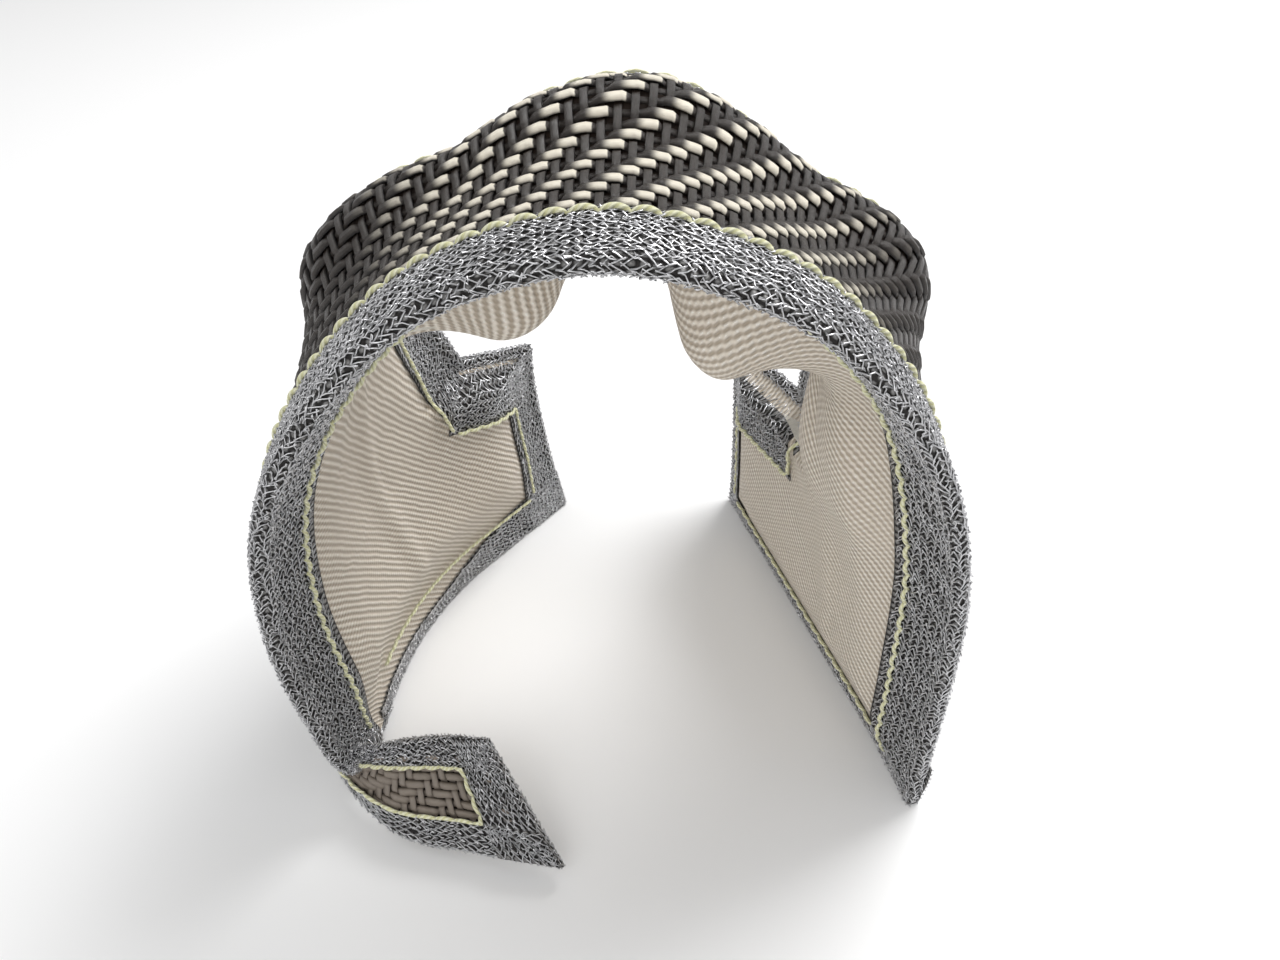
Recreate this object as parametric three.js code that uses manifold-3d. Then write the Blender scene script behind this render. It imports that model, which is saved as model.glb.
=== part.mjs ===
// Wastegate heat blanket: a quilted strip bent into an arch that stands on its two ends.
// Millimetres, +Z up. X runs across the arch, Y runs from the near edge to the far edge.
// The origin is on the floor, under the middle of the blanket.
import * as THREE from 'three';
import { mergeVertices } from 'three/addons/utils/BufferGeometryUtils.js';
import Module from 'manifold-3d';

const wasm = await Module();
wasm.setup();

// Driving dimensions of the bent blanket
const ARCH_HEIGHT = 92.5; // crown of the near edge above the floor
const ARCH_HALF_WIDTH = 46.2; // widest reach of the near edge either side of the middle
const CENTRE_X = 3.2; // moves the arch so that the whole blanket is centred on the origin
const NEAR_Y = -33.8; // near edge at the crown
const LEG_SET_BACK = 4.5; // the feet stand this much further back than the crown
const CROWN_DEPTH = 43; // cloth from edge to edge at the crown
const LEFT_TAB_DEPTH = 77; // cloth from edge to edge at the left foot
const RIGHT_TAB_DEPTH = 74;
const LEFT_NOTCH_DEPTH = 60; // where the notch meets the top of the left tab
const RIGHT_NOTCH_DEPTH = 47;
const TAB_HEIGHT = 39; // of the rear tabs, along the cloth
const TAB_TOP_RUN = 6; // the top of a tab slants by this much
const SHOULDER_AT = 76; // from the foot, where the notch starts to deepen
const LEFT_CURL = 37; // degrees that the rear of the left leg turns inwards
const RIGHT_CURL = 18;
const STRAP_WIDTH = 18.4;
const STRAP_LENGTH = 44;
const STRAP_LIFT = 9; // the near edge leaves the floor by this much where the strap starts
const STRAP_LIFT_REACH = 16;
// Both edges of the strap, from the near corner of the left foot: rightwards, back and up
const STRAP_UPPER = [[1.34, 6.7, 10], [5.84, 7.9, 11], [12.84, 8.2, 12], [19.84, 7.2, 12.6]];
const STRAP_LOWER = [[-3.56, 10.2, 2.6], [6.84, -1.6, 2.6], [18.84, -4.8, 2.6], [31.34, -7.1, 2.6]];
// Swells of the arch's rear half: height, place as a share of the arch, and spread
const SWELLS = [[4, 0.335, 0.05], [-2, 0.427, 0.03], [1.5, 0.52, 0.035], [-1.5, 0.6, 0.028], [6, 0.685, 0.055]];
// Inward buckles of the lining: height, place along the strip from its middle, and spread
const BUCKLES = [[7.5, -19, 10], [9.5, 22, 10], [4, 52, 20]];

// Layers, from the outside in
const CLOTH = 0.9;
const CLOTH_RIDGE = 0.13; // half the height of a twill line
const TWILL_PITCH = 4.35; // three yarns of 1.45
const TWILL_SLANT = 0.6; // travel along the strip per millimetre of depth
const LINING = 0.8;
const LINING_RIDGE = 0.1;
const PUFF = 4.4; // padded thickness between the cloths
const PUFF_REACH = 17; // distance from a seam at which the padding is full
const GAP = 0.3; // clearance between neighbouring pieces
const FLOOR_GAP = 0.05; // only the feet and the strap's lower edge touch the floor
const SEAM_GAP = 0.2; // half the gap between cloth and lining where they meet
const TWIST_GAP = 1; // the lining stands off the cloth where the strap twists
const TWIST_AT = -4;
const TWIST_REACH = 5;
const CORE_INSET = 10.2; // the felt stops short of the seams
const CLOTH_INSET = 1.6; // both cloths stop inside the fold of the tape

// Wire-mesh tape
const TAPE = 0.6;
const TAPE_OUTER_LEAF = 9.6;
const TAPE_INNER_LEAF = 11;
const STRAP_LEAF = 5.2; // the tape is narrower along the strap
const STRAP_END_LEAF = 8;

// Seams
const SEAM_INSET = 8.2;
const STITCH = 2.9;
const THREAD_RADIUS = 0.28;
const STITCH_RISE = 0.4;
const BOBBIN_CLEAR = 1.1; // the padding swells beside the seam
const STRAP_SEAM_INSET = 5;
const STRAP_SEAM_START = 12;

// Snap rivet
const RIVET_FROM_EDGE = 17;
const RIVET_FROM_FOOT = 58; // along the cloth from the right foot
const RIVET_CAP_RADIUS = 4.4;
const RIVET_CAP_RISE = 2;
const RIVET_POST_RADIUS = 1.5;
const RIVET_WASHER_RADIUS = 3.9;
const RIVET_WASHER = 0.7;

// Near edge seen from the front, left foot to right foot, as shares of the half width and the height
const ARCH_OUTLINE = [
  [-0.91, 0], [-0.97, 0.19], [-1, 0.4], [-0.935, 0.615], [-0.745, 0.795], [-0.46, 0.94], [-0.075, 1],
  [0.29, 0.948], [0.525, 0.85], [0.725, 0.698], [0.84, 0.5], [0.88, 0.245], [0.895, 0],
];
const arch = new THREE.CatmullRomCurve3(
  ARCH_OUTLINE.map(([x, z]) => new THREE.Vector3(x * ARCH_HALF_WIDTH + CENTRE_X, 0, z * ARCH_HEIGHT)),
  false, 'catmullrom', 0.5);
arch.arcLengthDivisions = 2000;
const LENGTH = arch.getLength();
const MIDDLE = LENGTH / 2;

const smooth = THREE.MathUtils.smoothstep;
const bell = (x, middle, spread) => Math.exp(-(((x - middle) / spread) ** 2));

// How far a leg that turns from heading a to heading b between two depths has gone inwards and back
const curlTable = (start, full, from, to) => {
  const table = [[0, 0]];
  for (let w = 0; w < 100; w += 1) {
    const turn = THREE.MathUtils.clamp((w + 0.5 - start) / (full - start), 0, 1);
    const heading = THREE.MathUtils.degToRad(from + (to - from) * turn);
    const [inwards, back] = table[w];
    table.push([inwards + Math.sin(heading), back + Math.cos(heading)]);
  }
  return (w, side) => {
    const k = THREE.MathUtils.clamp(Math.floor(w), 0, 99);
    return table[k][side] + (table[k + 1][side] - table[k][side]) * (w - k);
  };
};
const leftCurl = curlTable(14, 54, 0, LEFT_CURL);
const rightCurl = curlTable(0, 20, RIGHT_CURL * 0.75, RIGHT_CURL);

// Depth of the strip at a distance s from the left foot: tabs, notch and crown
const ramp = (s, a, b, from, to) => from + (to - from) * THREE.MathUtils.clamp((s - a) / (b - a), 0, 1);
const farEdge = (s) => {
  if (s < MIDDLE) {
    if (s < TAB_HEIGHT) return LEFT_TAB_DEPTH;
    const topEnd = TAB_HEIGHT + TAB_TOP_RUN;
    return s < topEnd ? ramp(s, TAB_HEIGHT, topEnd, LEFT_TAB_DEPTH, LEFT_NOTCH_DEPTH)
      : ramp(s, topEnd, SHOULDER_AT, LEFT_NOTCH_DEPTH, CROWN_DEPTH);
  }
  const r = LENGTH - s;
  if (r < TAB_HEIGHT) return RIGHT_TAB_DEPTH;
  const topEnd = TAB_HEIGHT + TAB_TOP_RUN;
  return r < topEnd ? ramp(r, TAB_HEIGHT, topEnd, RIGHT_TAB_DEPTH, RIGHT_NOTCH_DEPTH)
    : ramp(r, topEnd, SHOULDER_AT, RIGHT_NOTCH_DEPTH, CROWN_DEPTH);
};

// The main strip: s along the arch from the left foot, w from the near edge
const mainSheet = (s, w) => {
  const u = THREE.MathUtils.clamp(s / LENGTH, 0, 1);
  const p = arch.getPointAt(u);
  const t = arch.getTangentAt(u);
  const leg = 1 - smooth(p.z, ARCH_HEIGHT * 0.52, ARCH_HEIGHT * 0.92);
  const left = s < MIDDLE;
  const curl = left ? leftCurl : rightCurl;
  const inwards = curl(w, 0) * leg;
  const deep = smooth(w, 4, 36);
  const swell = deep * SWELLS.reduce((sum, [height, middle, spread]) => sum + height * bell(u, middle, spread), 0);
  const lift = STRAP_LIFT * Math.max(0, 1 - w / STRAP_WIDTH) * Math.max(0, 1 - s / STRAP_LIFT_REACH) ** 2;
  return new THREE.Vector3(
    p.x + (left ? inwards : -inwards) - t.z * swell,
    NEAR_Y + LEG_SET_BACK * (1 - p.z / ARCH_HEIGHT) + curl(w, 1) * leg + w * (1 - leg),
    p.z + t.x * swell + lift,
  );
};

// The strap: ruled between its upper edge, which runs on from the near edge, and its lower edge on the floor
const strapEdge = (w, offsets) => new THREE.CatmullRomCurve3([
  mainSheet(6, w), mainSheet(0, w),
  ...offsets.map(([x, y, z]) => new THREE.Vector3(arch.getPointAt(0).x + x, NEAR_Y + y, z)),
], false, 'catmullrom', 0.5);
const strapUpper = strapEdge(0, STRAP_UPPER);
const strapLower = strapEdge(STRAP_WIDTH, STRAP_LOWER);
const strapSheet = (s, w) => {
  const knots = strapUpper.points.length - 1;
  const t = THREE.MathUtils.clamp((1 + (-s / STRAP_LENGTH) * (knots - 1)) / knots, 0, 1);
  return strapUpper.getPoint(t).lerp(strapLower.getPoint(t), w / STRAP_WIDTH);
};
const sheet = (s, w) => (s < 0 ? strapSheet(s, w) : mainSheet(s, w));

const normal = (s, w) => {
  const step = 0.4;
  const along = sheet(Math.min(s + step, LENGTH), w).sub(sheet(Math.max(s - step, -STRAP_LENGTH), w));
  const across = sheet(s, w + step).sub(sheet(s, w - step));
  return along.cross(across).normalize();
};
const place = (s, w, height) => sheet(s, w).addScaledVector(normal(s, w), height);

// Distance from the nearest edge of the strip
const fromEdge = (s, w) => {
  if (s < 0) return Math.min(w, STRAP_WIDTH - w, STRAP_LENGTH + s);
  const foot = w < STRAP_WIDTH ? s + (STRAP_WIDTH - w) : s;
  return Math.min(w, farEdge(s) - w, foot, LENGTH - s);
};
const buckle = (s, w) => {
  const field = smooth(w, 9, 20) * (1 - smooth(w, 30, 42));
  return field * BUCKLES.reduce((sum, [height, place0, spread]) => sum + height * bell(s, MIDDLE + place0, spread), 0);
};
const puff = (s, w) => {
  if (s < 2) return 0;
  const edge = fromEdge(s, w);
  const full = PUFF * smooth(edge, 2, PUFF_REACH) * smooth(s, 2, 20);
  return full + buckle(s, w) * smooth(edge, 8, PUFF_REACH);
};

// A closed body from loops of points carried along a path, with flat ends
const loft = (loops) => {
  const positions = loops.flat().flatMap((p) => [p.x, p.y, p.z]);
  const count = loops[0].length;
  const index = [];
  for (let i = 0; i + 1 < loops.length; i += 1) {
    for (let j = 0; j < count; j += 1) {
      const a = i * count + j;
      const b = i * count + ((j + 1) % count);
      index.push(a, b, a + count, b, b + count, a + count);
    }
  }
  return { positions, index, count, rows: loops.length };
};
const outward = (geometry) => {
  const p = geometry.getAttribute('position');
  const [a, b, c] = [new THREE.Vector3(), new THREE.Vector3(), new THREE.Vector3()];
  const index = geometry.getIndex().array;
  let volume = 0;
  for (let i = 0; i < index.length; i += 3) {
    a.fromBufferAttribute(p, index[i]);
    b.fromBufferAttribute(p, index[i + 1]);
    c.fromBufferAttribute(p, index[i + 2]);
    volume += a.dot(b.cross(c));
  }
  if (volume < 0) {
    for (let i = 0; i < index.length; i += 3) [index[i], index[i + 1]] = [index[i + 1], index[i]];
  }
  geometry.computeVertexNormals();
  return geometry;
};
const geometryOf = (positions, index) => {
  const geometry = new THREE.BufferGeometry();
  geometry.setAttribute('position', new THREE.Float32BufferAttribute(positions, 3));
  geometry.setIndex(index);
  return outward(geometry);
};
// Convex loops take a fan at each end; a folded tape's loop takes the pairs of points across its thickness
const fanEnds = (solid) => {
  const last = (solid.rows - 1) * solid.count;
  for (let j = 1; j + 1 < solid.count; j += 1) {
    solid.index.push(0, j + 1, j, last, last + j, last + j + 1);
  }
  return geometryOf(solid.positions, solid.index);
};
const ladderEnds = (solid) => {
  const last = (solid.rows - 1) * solid.count;
  for (let j = 0; j + 1 < solid.count / 2; j += 1) {
    const [a, b] = [j, j + 1];
    const [c, d] = [solid.count - 1 - j, solid.count - 2 - j];
    solid.index.push(a, c, b, b, c, d, last + a, last + b, last + c, last + b, last + d, last + c);
  }
  return geometryOf(solid.positions, solid.index);
};

// A cloth layer: a grid of columns along s and rows along w, with the strap's columns only as wide as the strap
const layer = ({ spots, strapRows, top, bottom }) => {
  const positions = [];
  const index = [];
  const ids = new Map();
  const vertex = (i, j, side) => {
    const key = `${i},${j},${side}`;
    if (!ids.has(key)) {
      const { s, w } = spots[i][j];
      const p = place(s, w, side ? bottom(s, w, i) : top(s, w, i));
      ids.set(key, positions.length / 3);
      positions.push(p.x, p.y, p.z);
    }
    return ids.get(key);
  };
  const strapColumns = spots.filter((column) => column[0].s < 0).length;
  const filled = (i, j) => i >= 0 && j >= 0 && i + 1 < spots.length
    && j + 1 < (i < strapColumns ? strapRows + 1 : spots[spots.length - 1].length);
  for (let i = 0; i + 1 < spots.length; i += 1) {
    for (let j = 0; filled(i, j); j += 1) {
      const corners = [[i, j], [i + 1, j], [i + 1, j + 1], [i, j + 1]];
      const [a, b, c, d] = corners.map(([x, y]) => vertex(x, y, 0));
      const [e, f, g, h] = corners.map(([x, y]) => vertex(x, y, 1));
      index.push(a, b, c, a, c, d, e, g, f, e, h, g);
      if (!filled(i, j - 1)) index.push(a, e, f, a, f, b);
      if (!filled(i + 1, j)) index.push(b, f, g, b, g, c);
      if (!filled(i, j + 1)) index.push(c, g, h, c, h, d);
      if (!filled(i - 1, j)) index.push(d, h, e, d, e, a);
    }
  }
  return geometryOf(positions, index);
};

// Columns follow the twill lines: they lean by the slant, which fades out towards both feet.
// Rows keep their distance from the near edge, then from the far edge, with two between.
const COLUMN = TWILL_PITCH * 1.15;
const FIELD = 17; // distance from an edge at which the rows of the field start
const STRAP_ROWS = 3;
const rowsAt = (s, inset) => {
  const far = farEdge(s);
  const split = STRAP_WIDTH - CLOTH_INSET;
  const strap = (share) => CLOTH_INSET + (split - CLOTH_INSET) * share;
  const middle = (share) => split + (far - FIELD - split) * share;
  return [inset, strap(1 / 3), strap(2 / 3), split, middle(1 / 3), middle(2 / 3), far - FIELD, far - CORE_INSET,
    far - inset];
};
const clothSpots = (inset) => {
  const strapColumns = Math.round((2 * STRAP_LENGTH) / COLUMN);
  const columns = Math.round(LENGTH / COLUMN);
  const spots = [];
  for (let i = 0; i < strapColumns; i += 1) {
    const s = i ? -(STRAP_LENGTH - CLOTH_INSET) * (1 - i / strapColumns) : inset - STRAP_LENGTH;
    spots.push([...rowsAt(s, inset).slice(0, STRAP_ROWS), STRAP_WIDTH - inset].map((w) => ({ s, w })));
  }
  for (let i = 0; i <= columns; i += 1) {
    const inner = CLOTH_INSET + ((LENGTH - 2 * CLOTH_INSET) * i) / columns;
    const s0 = i === 0 ? inset : i === columns ? LENGTH - inset : inner;
    const fade = smooth(s0, 0, LENGTH * 0.45) * (1 - smooth(s0, LENGTH * 0.55, LENGTH));
    const last = rowsAt(s0, inset).length - 1;
    spots.push(rowsAt(s0, inset).map((_, j) => {
      const s = s0 + TWILL_SLANT * CROWN_DEPTH * fade * (j / last - 0.5);
      return { s, w: rowsAt(s, inset)[j] };
    }));
  }
  return spots;
};
const ridge = (i, height) => (i % 2 ? height : -height);

const clothTop = SEAM_GAP + CLOTH;
const outerCloth = () => layer({
  spots: clothSpots(CLOTH_INSET),
  strapRows: STRAP_ROWS,
  top: (s, w, i) => clothTop + ridge(i, CLOTH_RIDGE),
  bottom: () => SEAM_GAP,
});
const liningTop = (s, w) => {
  const twist = bell(s, TWIST_AT, TWIST_REACH) * (1 - smooth(w, STRAP_WIDTH * 0.4, STRAP_WIDTH * 0.8));
  return -SEAM_GAP - puff(s, w) - TWIST_GAP * twist;
};
const liningBottom = (s, w) => liningTop(s, w) - LINING;
const innerLining = () => layer({
  spots: clothSpots(CLOTH_INSET),
  strapRows: STRAP_ROWS,
  top: liningTop,
  bottom: (s, w, i) => liningBottom(s, w) + ridge(i, LINING_RIDGE),
});
// The felt shares the cloths' columns and rows, so that it lies parallel to both
const insulationCore = () => layer({
  spots: clothSpots(CLOTH_INSET)
    .filter((column) => column[0].s > CORE_INSET && column[0].s < LENGTH - CORE_INSET
      && column[column.length - 1].s > CORE_INSET && column[column.length - 1].s < LENGTH - CORE_INSET)
    .map((column) => column.slice(1, -1)),
  strapRows: STRAP_ROWS,
  top: () => -SEAM_GAP,
  bottom: (s, w) => liningTop(s, w) + GAP,
});
// The room that the tapes leave for the cloths
const clothRoom = () => layer({
  spots: clothSpots(TAPE + GAP),
  strapRows: STRAP_ROWS,
  top: () => clothTop + CLOTH_RIDGE + GAP,
  bottom: (s, w) => liningBottom(s, w) - LINING_RIDGE - GAP,
});

// Joining and cutting
const solidOf = (geometry) => {
  const bare = geometry.clone();
  bare.deleteAttribute('normal');
  bare.deleteAttribute('uv');
  const merged = mergeVertices(bare, 1e-4);
  return new wasm.Manifold(new wasm.Mesh({
    numProp: 3,
    vertProperties: new Float32Array(merged.getAttribute('position').array),
    triVerts: new Uint32Array(merged.getIndex().array),
  }));
};
const geometryFrom = (solid) => {
  const mesh = solid.getMesh();
  return geometryOf(Array.from(mesh.vertProperties), Array.from(mesh.triVerts));
};

// A run of an edge: a path in s and w with the cloth on its left, and how much each end is mitred
const pathOf = (points) => {
  const curve = new THREE.CurvePath();
  for (let i = 0; i + 1 < points.length; i += 1) {
    curve.add(new THREE.LineCurve(new THREE.Vector2(...points[i]), new THREE.Vector2(...points[i + 1])));
  }
  return curve;
};
const tapeBlock = ({ points, step, flat, leaf }, grow) => {
  const path = pathOf(points);
  const length = path.getLength();
  const outer = clothTop + CLOTH_RIDGE + GAP + TAPE + grow;
  const inner = (s, w) => liningBottom(s, w) - LINING_RIDGE - GAP - TAPE - grow;
  // Points of the section: distance in from the edge and share of the thickness, out to in round the fold
  const rows = Math.max(2, Math.round(length / step));
  const loops = [];
  for (let i = 0; i <= rows; i += 1) {
    const at = path.getPointAt(i / rows);
    const tangent = path.getTangentAt(THREE.MathUtils.clamp(i / rows, 1e-4, 1 - 1e-4));
    const beyond = i === 0 ? -grow : i === rows ? grow : 0;
    const strap = leaf ? 0 : smooth(-at.x, -14, 2);
    const outerLeaf = leaf ?? TAPE_OUTER_LEAF + (STRAP_LEAF - TAPE_OUTER_LEAF) * strap;
    const innerLeaf = leaf ?? TAPE_INNER_LEAF + (STRAP_LEAF - TAPE_INNER_LEAF) * strap;
    const section = [
      [outerLeaf + grow, 1], [outerLeaf / 2, 1], [1.3, 1], [0.1 - grow, 0.55],
      [0.1 - grow, -0.55], [1.3, -1], [innerLeaf / 2, -1], [innerLeaf + grow, -1],
    ];
    loops.push(section.map(([inset, face]) => {
      const s = at.x + tangent.x * beyond - tangent.y * inset;
      const w = at.y + tangent.y * beyond + tangent.x * inset;
      const p = place(s, w, face > 0 ? face * outer : -face * inner(s, w));
      if (grow) p.z = flat && Math.abs(face) < 1 ? -FLOOR_GAP : p.z;
      else p.z = flat && Math.abs(face) < 1 ? 0 : Math.max(p.z, FLOOR_GAP);
      return p;
    }));
  }
  return solidOf(ladderEnds(loft(loops)));
};
// Each tape is its folded block less the cloths' room and the tapes that were sewn before it
const SLACK = 0.06; // a tape's facets may leave its true form by this much
const tapes = (edges) => {
  const room = solidOf(clothRoom());
  const before = [];
  return Object.entries(edges).map(([name, edge]) => {
    let solid = tapeBlock(edge, 0).subtract(room);
    for (const other of before) solid = solid.subtract(other);
    before.push(tapeBlock(edge, GAP));
    const pieces = solid.simplify(SLACK).decompose().sort((a, b) => b.volume() - a.volume());
    return [name, geometryFrom(pieces[0])];
  });
};

// One thread of a seam, scalloped stitch by stitch on the face it lies on
const thread = ({ points, face, stepsPerStitch }) => {
  const path = pathOf(points);
  const steps = Math.max(2, Math.round((path.getLength() / STITCH) * stepsPerStitch));
  const sides = 3;
  const loops = [];
  for (let i = 0; i <= steps; i += 1) {
    const u = i / steps;
    const at = path.getPointAt(u);
    const tangent = path.getTangentAt(THREE.MathUtils.clamp(u, 1e-4, 1 - 1e-4));
    const rise = stepsPerStitch > 1 && i % 2 ? STITCH_RISE : 0;
    const clear = TAPE + 2 * GAP + THREAD_RADIUS + rise;
    const height = face > 0 ? clothTop + CLOTH_RIDGE + clear
      : liningBottom(at.x, at.y) - LINING_RIDGE - clear - BOBBIN_CLEAR;
    const loop = [];
    for (let k = 0; k < sides; k += 1) {
      const turn = (2 * Math.PI * k) / sides;
      const side = THREAD_RADIUS * Math.cos(turn);
      loop.push(place(at.x - tangent.y * side, at.y + tangent.x * side, height + THREAD_RADIUS * Math.sin(turn)));
    }
    loops.push(loop);
  }
  return fanEnds(loft(loops));
};

// The rivet stands square to the cloth on the right flank
const rivetS = LENGTH - RIVET_FROM_FOOT;
const rivetW = RIVET_FROM_EDGE;
const rivetTop = clothTop + CLOTH_RIDGE + GAP;
const rivetInside = Math.min(...Array.from({ length: 12 }, (_, k) => {
  const turn = (Math.PI * k) / 6;
  const [s, w] = [rivetS + RIVET_WASHER_RADIUS * Math.cos(turn), rivetW + RIVET_WASHER_RADIUS * Math.sin(turn)];
  return liningBottom(s, w);
})) - LINING_RIDGE - 2 * GAP;
const rivetTurn = new THREE.Quaternion().setFromUnitVectors(new THREE.Vector3(0, 1, 0), normal(rivetS, rivetW));
const onRivet = (geometry, height) => {
  const at = place(rivetS, rivetW, height);
  return geometry.applyQuaternion(rivetTurn).translate(at.x, at.y, at.z);
};
const turned = (profile, height) => {
  const geometry = new THREE.LatheGeometry(profile.map(([r, y]) => new THREE.Vector2(r, y)), 16);
  geometry.deleteAttribute('normal');
  geometry.deleteAttribute('uv');
  return outward(onRivet(mergeVertices(geometry, 1e-4), height));
};
const rivetCap = () => {
  const profile = [[0, 0], [RIVET_CAP_RADIUS * 0.9, 0], [RIVET_CAP_RADIUS, RIVET_CAP_RISE * 0.2]];
  for (let k = 1; k <= 5; k += 1) {
    const turn = (Math.PI / 2) * (k / 5);
    profile.push([RIVET_CAP_RADIUS * Math.cos(turn), RIVET_CAP_RISE * (0.2 + 0.8 * Math.sin(turn))]);
  }
  profile[profile.length - 1][0] = 0;
  return turned(profile, rivetTop);
};
const rivetWasher = () => turned([
  [RIVET_POST_RADIUS + GAP, 0], [RIVET_WASHER_RADIUS, 0], [RIVET_WASHER_RADIUS, -RIVET_WASHER * 0.6],
  [RIVET_WASHER_RADIUS - RIVET_WASHER * 0.4, -RIVET_WASHER], [RIVET_POST_RADIUS + GAP, -RIVET_WASHER],
  [RIVET_POST_RADIUS + GAP, 0],
], rivetInside);
const rivetPost = () => {
  const reach = rivetTop - GAP - rivetInside + RIVET_WASHER + GAP;
  return turned([
    [0, 0], [RIVET_POST_RADIUS, 0], [RIVET_POST_RADIUS, -reach], [RIVET_POST_RADIUS * 1.5, -reach - GAP],
    [RIVET_POST_RADIUS * 1.5, -reach - 2 * GAP], [0, -reach - 2 * GAP],
  ], rivetTop - GAP);
};
const rivetHole = solidOf(turned([
  [0, -30], [RIVET_POST_RADIUS + GAP, -30], [RIVET_POST_RADIUS + GAP, 10], [0, 10],
], rivetTop));
const pierced = (geometry) => geometryFrom(solidOf(geometry).subtract(rivetHole));

// Edges in s and w, each with the cloth on its left, in the order of sewing
const leftTop = TAB_HEIGHT + TAB_TOP_RUN;
const rightTabS = LENGTH - TAB_HEIGHT;
const rightTop = LENGTH - leftTop;
const EDGES = {
  strap_end: { points: [[-STRAP_LENGTH, STRAP_WIDTH], [-STRAP_LENGTH, 0]], step: 4, leaf: STRAP_END_LEAF },
  near_edge: { points: [[-STRAP_LENGTH, 0], [0, 0], [LENGTH, 0]], step: 5.4 },
  strap_lower: { points: [[0, STRAP_WIDTH], [-STRAP_LENGTH, STRAP_WIDTH]], step: 6, leaf: STRAP_LEAF },
  left_foot: { points: [[0, LEFT_TAB_DEPTH], [0, STRAP_WIDTH]], step: 6, flat: true },
  right_foot: { points: [[LENGTH, 0], [LENGTH, RIGHT_TAB_DEPTH]], step: 6, flat: true },
  left_tab: { points: [[TAB_HEIGHT, LEFT_TAB_DEPTH], [0, LEFT_TAB_DEPTH]], step: 8 },
  right_tab: { points: [[LENGTH, RIGHT_TAB_DEPTH], [rightTabS, RIGHT_TAB_DEPTH]], step: 8 },
  far_edge: {
    points: [[rightTop, RIGHT_NOTCH_DEPTH], [LENGTH - SHOULDER_AT, CROWN_DEPTH], [SHOULDER_AT, CROWN_DEPTH],
      [leftTop, LEFT_NOTCH_DEPTH]],
    step: 5,
  },
  left_tab_top: { points: [[leftTop, LEFT_NOTCH_DEPTH], [TAB_HEIGHT, LEFT_TAB_DEPTH]], step: 5 },
  right_tab_top: { points: [[rightTabS, RIGHT_TAB_DEPTH], [rightTop, RIGHT_NOTCH_DEPTH]], step: 5 },
};

const material = (color, roughness, metalness) => new THREE.MeshStandardMaterial({ color, roughness, metalness });
const MATERIALS = {
  cloth: material('#3b2d24', 0.55, 0),
  felt: material('#d9d4c8', 0.95, 0),
  lining: material('#cbbda8', 0.85, 0),
  wire: material('#8a8b8d', 0.35, 0.9),
  yarn: material('#d9d9a0', 0.8, 0),
  steel: material('#c9cbcd', 0.2, 1),
};

const blanket = new THREE.Group();
const add = (name, geometry, finish) => {
  const mesh = new THREE.Mesh(geometry, MATERIALS[finish]);
  mesh.name = name;
  blanket.add(mesh);
};
add('outer_cloth', pierced(outerCloth()), 'cloth');
add('insulation_core', pierced(insulationCore()), 'felt');
add('inner_lining', pierced(innerLining()), 'lining');
for (const [name, geometry] of tapes(EDGES)) add(`${name}_tape`, geometry, 'wire');
add('rivet_cap', rivetCap(), 'steel');
add('rivet_post', rivetPost(), 'steel');
add('rivet_washer', rivetWasher(), 'steel');

// Seams run beside the edges; the strap's seam turns round its end
const farSeam = (depth) => depth - SEAM_INSET;
const SEAMS = {
  near_edge: [[5, SEAM_INSET], [LENGTH - 3, SEAM_INSET]],
  right_foot: [[LENGTH - SEAM_INSET, SEAM_INSET + 2], [LENGTH - SEAM_INSET, farSeam(RIGHT_TAB_DEPTH) - 1]],
  right_tab: [
    [LENGTH - SEAM_INSET - 1, farSeam(RIGHT_TAB_DEPTH)], [rightTabS + SEAM_INSET, farSeam(RIGHT_TAB_DEPTH)],
    [rightTop + SEAM_INSET, farSeam(RIGHT_NOTCH_DEPTH) + 1]],
  far_edge: [
    [rightTop + SEAM_INSET - 1, farSeam(RIGHT_NOTCH_DEPTH)], [LENGTH - SHOULDER_AT, farSeam(CROWN_DEPTH)],
    [SHOULDER_AT, farSeam(CROWN_DEPTH)], [leftTop - SEAM_INSET + 1, farSeam(LEFT_NOTCH_DEPTH)]],
  left_tab: [
    [leftTop - SEAM_INSET, farSeam(LEFT_NOTCH_DEPTH) + 1], [TAB_HEIGHT - SEAM_INSET, farSeam(LEFT_TAB_DEPTH)],
    [SEAM_INSET + 1, farSeam(LEFT_TAB_DEPTH)]],
  left_foot: [[SEAM_INSET, farSeam(LEFT_TAB_DEPTH) - 1], [SEAM_INSET, STRAP_WIDTH + 2]],
  strap: [
    [-STRAP_SEAM_START, STRAP_WIDTH - STRAP_SEAM_INSET], [-STRAP_LENGTH + SEAM_INSET, STRAP_WIDTH - STRAP_SEAM_INSET],
    [-STRAP_LENGTH + SEAM_INSET, STRAP_SEAM_INSET], [-STRAP_SEAM_START, STRAP_SEAM_INSET]],
};
for (const [name, points] of Object.entries(SEAMS)) {
  add(`${name}_needle_thread`, thread({ points, face: 1, stepsPerStitch: 2 }), 'yarn');
  add(`${name}_bobbin_thread`, thread({ points, face: -1, stepsPerStitch: 0.5 }), 'yarn');
}

export default blanket;
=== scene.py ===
# %% [markdown]
# A heat blanket is sewn flat and then bent round a hot, round housing: coarse dark cloth
# outside, beige cloth inside, felt between, and knitted wire over every raw edge. The felt
# comes from the fixed frame, and this file dresses it with the same sizes, typed again below.
# Everything that is cloth or wire here is worked out on one bent surface.

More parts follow.
